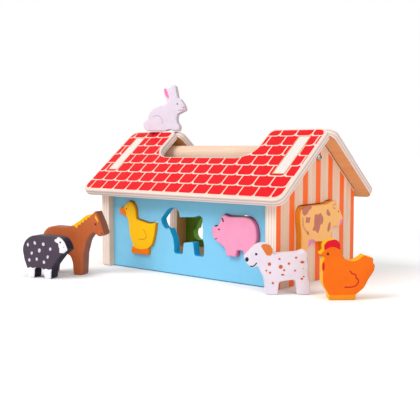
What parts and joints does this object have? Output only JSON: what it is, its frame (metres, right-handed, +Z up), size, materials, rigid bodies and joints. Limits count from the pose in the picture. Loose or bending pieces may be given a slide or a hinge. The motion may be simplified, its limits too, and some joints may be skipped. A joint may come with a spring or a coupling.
{
  "type": "farmhouse shape sorter",
  "caption": "Wooden farmhouse shape sorter with a red gabled roof, a carrying handle in the roof opening, shaped slots in its walls and loose wooden animals that fit them.",
  "frame": {"origin": "middle of the underside of the floor panel, on which the house stands", "axes": "+X along the front wall and the handle, from the left gable to the right one; +Y from the front wall to the back wall; +Z up"},
  "size_m": [0.3593, 0.276, 0.2124],
  "materials": {
    "gable_wood": "painted or bare wood",
    "blue_paint": "painted or bare wood",
    "green_paint": "painted or bare wood",
    "floor_wood": "painted or bare wood",
    "red_roof": "painted or bare wood",
    "handle_wood": "painted or bare wood",
    "pin_wood": "painted or bare wood",
    "duck_yellow": "painted or bare wood",
    "pig_pink": "painted or bare wood",
    "cow_buff": "painted or bare wood",
    "dog_white": "painted or bare wood",
    "hen_orange": "painted or bare wood",
    "sheep_charcoal": "painted or bare wood",
    "horse_brown": "painted or bare wood",
    "rabbit_lilac": "painted or bare wood",
    "screw_steel": "zinc-plated steel"
  },
  "bodies": {
    "house": {"left_gable": "gable_wood", "right_gable": "gable_wood", "front_wall": "blue_paint", "back_wall": "green_paint", "floor_panel": "floor_wood", "front_roof": "red_roof", "back_roof": "red_roof", "handle_dowel": "handle_wood", "handle_screws": "screw_steel", "wall_pins": "pin_wood", "floor_pins": "pin_wood"},
    "duck_piece": {"duck": "duck_yellow"},
    "pig_piece": {"pig": "pig_pink"},
    "cow_piece": {"cow": "cow_buff"},
    "dog_piece": {"dog": "dog_white"},
    "hen_piece": {"hen": "hen_orange"},
    "sheep_piece": {"sheep": "sheep_charcoal"},
    "horse_piece": {"horse": "horse_brown"},
    "rabbit_piece": {"rabbit": "rabbit_lilac"}
  },
  "joints": [
    {"name": "duck_slide", "type": "slide", "parent": "house", "child": "duck_piece", "axis": [0, -1, 0], "range_m": [-0.015, 0.03]},
    {"name": "pig_slide", "type": "slide", "parent": "house", "child": "pig_piece", "axis": [0, -1, 0], "range_m": [-0.016, 0.03]},
    {"name": "cow_slide", "type": "slide", "parent": "house", "child": "cow_piece", "axis": [1, 0, 0], "range_m": [-0.02, 0.03]},
    {"name": "hen_lift", "type": "slide", "parent": "house", "child": "hen_piece", "axis": [0, 0, 1], "range_m": [0, 0.06]},
    {"name": "sheep_lift", "type": "slide", "parent": "house", "child": "sheep_piece", "axis": [0, 0, 1], "range_m": [0, 0.06]},
    {"name": "horse_lift", "type": "slide", "parent": "house", "child": "horse_piece", "axis": [0, 0, 1], "range_m": [0, 0.06]},
    {"name": "rabbit_lift", "type": "slide", "parent": "house", "child": "rabbit_piece", "axis": [0, 0, 1], "range_m": [0, 0.06]},
    {"name": "dog_lift", "type": "slide", "parent": "house", "child": "dog_piece", "axis": [0, 0, 1], "range_m": [0, 0.03]}
  ]
}
